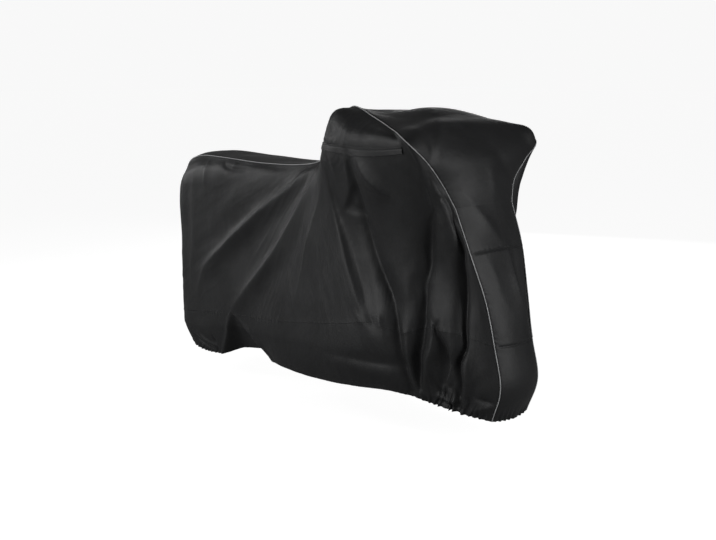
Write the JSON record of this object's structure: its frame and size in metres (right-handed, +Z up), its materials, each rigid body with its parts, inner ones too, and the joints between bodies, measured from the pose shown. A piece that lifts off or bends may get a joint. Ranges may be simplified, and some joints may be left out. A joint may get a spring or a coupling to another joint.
{
  "type": "motorcycle cover",
  "caption": "Fitted black cloth cover draped over a motorcycle shape, with piped seams, a vent flap on each shoulder and an open gathered hem.",
  "frame": {"origin": "the point under the cloth where it rests on the rider's saddle, on the centre plane", "axes": "+X towards the front wheel, +Y to the motorcycle's left, +Z up"},
  "size_m": [2.0179, 0.7689, 1.1802],
  "materials": {
    "black_polyester": "coated woven polyester, low sheen",
    "reflective_piping": "light grey reflective cord, satin"
  },
  "bodies": {
    "root": {"right_side_panel": "black_polyester", "left_side_panel": "black_polyester", "right_skirt": "black_polyester", "left_skirt": "black_polyester", "front_skirt": "black_polyester", "mudguard_panel": "black_polyester", "hood_and_top_panel": "black_polyester", "rear_skirt": "black_polyester", "right_vent_flap": "black_polyester", "left_vent_flap": "black_polyester", "right_piping": "reflective_piping", "left_piping": "reflective_piping"}
  },
  "joints": []
}
